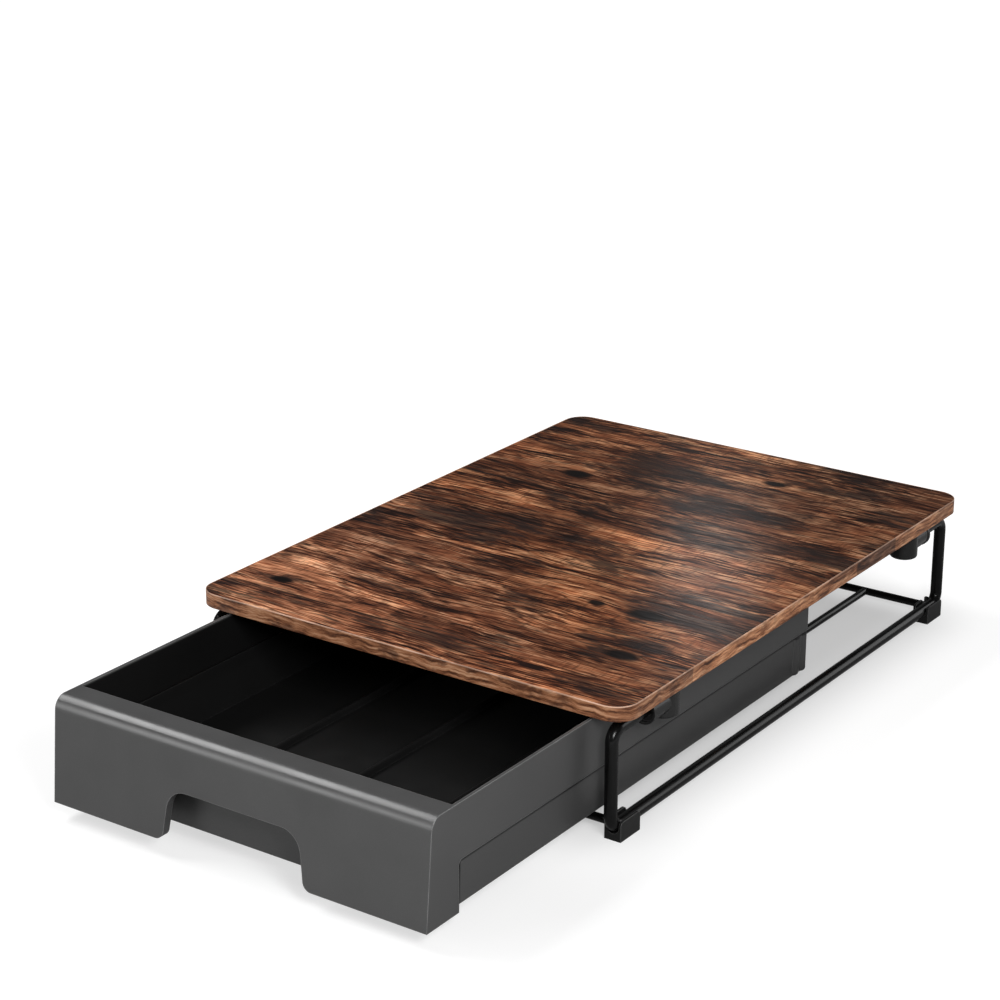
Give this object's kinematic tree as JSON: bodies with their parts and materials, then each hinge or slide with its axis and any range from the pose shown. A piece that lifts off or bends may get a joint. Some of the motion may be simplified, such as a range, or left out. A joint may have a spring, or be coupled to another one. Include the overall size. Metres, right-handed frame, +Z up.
{
  "type": "coffee pod drawer",
  "caption": "Coffee pod drawer: a wood-grain board on a bent black steel stand, over a dark grey plastic drawer that slides out on two rods.",
  "frame": {"origin": "on the floor, under the middle of the whole part's box as it stands with the drawer part open", "axes": "+X to the right as seen from the drawer's front, +Y from the drawer's front to the back, +Z up"},
  "size_m": [0.34, 0.6314, 0.094],
  "materials": {
    "wood_top": "satin rustic wood-grain laminate",
    "wood_edge": "satin wood-grain edge banding",
    "black_tube": "glossy black powder coat",
    "foot_plastic": "matt moulded",
    "fitting_plastic": "semi-gloss moulded",
    "zinc_steel": "zinc plated",
    "drawer_grey": "fine satin moulded",
    "tray_grey": "satin moulded"
  },
  "bodies": {
    "stand": {"top_board": "wood_top", "edge_banding": "wood_edge", "left_side_frame": "black_tube", "right_side_frame": "black_tube", "front_cross_bar": "black_tube", "back_cross_bar": "black_tube", "left_runner_rod": "black_tube", "right_runner_rod": "black_tube", "front_left_foot": "foot_plastic", "front_right_foot": "foot_plastic", "back_left_foot": "foot_plastic", "back_right_foot": "foot_plastic", "front_left_connector": "fitting_plastic", "front_right_connector": "fitting_plastic", "back_left_connector": "fitting_plastic", "back_right_connector": "fitting_plastic", "connector_screws": "zinc_steel"},
    "drawer": {"drawer_surround": "drawer_grey", "drawer_tray": "tray_grey"}
  },
  "joints": [
    {"name": "drawer_slide", "type": "slide", "parent": "stand", "child": "drawer", "axis": [0, -1, 0], "range_m": [-0.16, 0.09]}
  ]
}
